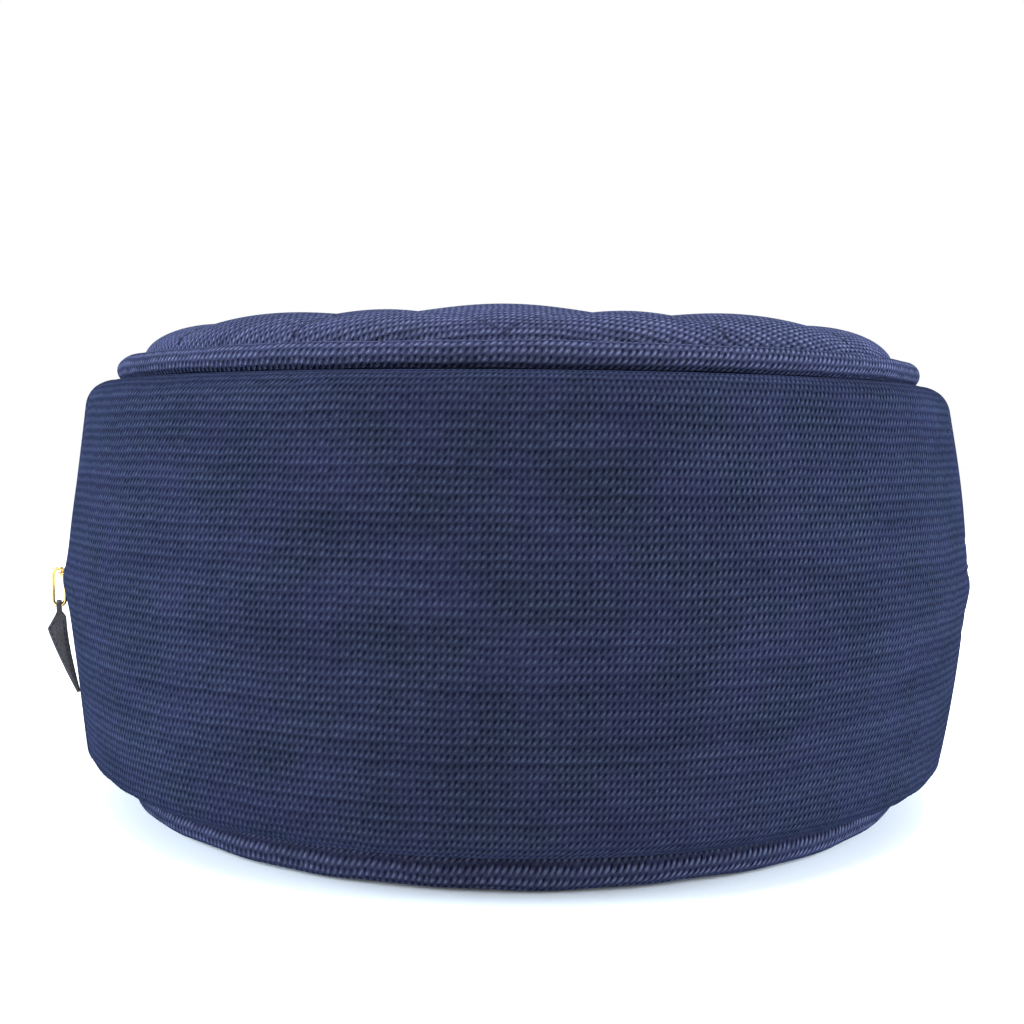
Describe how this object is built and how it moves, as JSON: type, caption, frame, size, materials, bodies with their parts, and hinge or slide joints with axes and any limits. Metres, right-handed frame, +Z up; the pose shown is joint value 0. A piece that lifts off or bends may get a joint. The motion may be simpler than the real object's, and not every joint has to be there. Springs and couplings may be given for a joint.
{
  "type": "seat cushion",
  "caption": "Thick round boxed seat cushion: quilted faces, padded welts, and a band with a zip round the back whose slider, ring and leather tab move; the cover holds an inner pad.",
  "frame": {"origin": "centre of the base, on the surface the cushion stands on", "axes": "+Z up; the front panel faces -Y; the zip starts at -X, runs round the back and ends at +X"},
  "size_m": [0.3631, 0.3592, 0.191],
  "materials": {
    "navy_knit": "matte",
    "navy_tape": "matte",
    "gold_metal": "polished",
    "black_leather": "satin",
    "woven_lining": "matte",
    "white_wadding": "matte",
    "calico": "matte",
    "foam": "matte"
  },
  "bodies": {
    "cushion": {"band_knit": "navy_knit", "band_interlining": "woven_lining", "zip_strip_upper": "navy_knit", "zip_strip_interlining_upper": "woven_lining", "zip_tape_upper": "navy_tape", "zip_teeth_upper": "gold_metal", "zip_strip_lower": "navy_knit", "zip_strip_interlining_lower": "woven_lining", "zip_tape_lower": "navy_tape", "zip_teeth_lower": "gold_metal", "zip_end_tab_right": "navy_knit", "zip_end_tab_left": "navy_knit", "zip_top_stop_upper": "gold_metal", "zip_top_stop_lower": "gold_metal", "zip_bottom_stop": "gold_metal", "top_face_knit": "navy_knit", "top_face_wadding": "white_wadding", "top_face_backing": "woven_lining", "top_welt_cover": "navy_knit", "top_welt_cord": "white_wadding", "top_seam_binding": "woven_lining", "inner_case_top": "calico", "inner_wadding_top": "white_wadding", "base_face_knit": "navy_knit", "base_face_wadding": "white_wadding", "base_face_backing": "woven_lining", "base_welt_cover": "navy_knit", "base_welt_cord": "white_wadding", "base_seam_binding": "woven_lining", "inner_case_base": "calico", "inner_wadding_base": "white_wadding", "inner_case_band": "calico", "inner_wadding_band": "white_wadding", "foam_core": "foam"},
    "slider": {"slider_body": "gold_metal"},
    "ring": {"pull_ring": "gold_metal"},
    "tab": {"pull_tab": "black_leather"}
  },
  "joints": [
    {"name": "slider_run", "type": "hinge", "parent": "cushion", "child": "slider", "pos_m": [0, 0, 0.088], "axis": [0, 0, -1], "range_deg": [0, 205]},
    {"name": "ring_lift", "type": "hinge", "parent": "slider", "child": "ring", "pos_m": [-0.17944, -0.03979, 0.088], "axis": [-0.2165, 0.9763, 0], "range_deg": [0, 180]},
    {"name": "tab_swing", "type": "hinge", "parent": "ring", "child": "tab", "pos_m": [-0.17944, -0.03979, 0.07565], "axis": [-0.9763, -0.2165, 0], "range_deg": [-75, 75]}
  ]
}
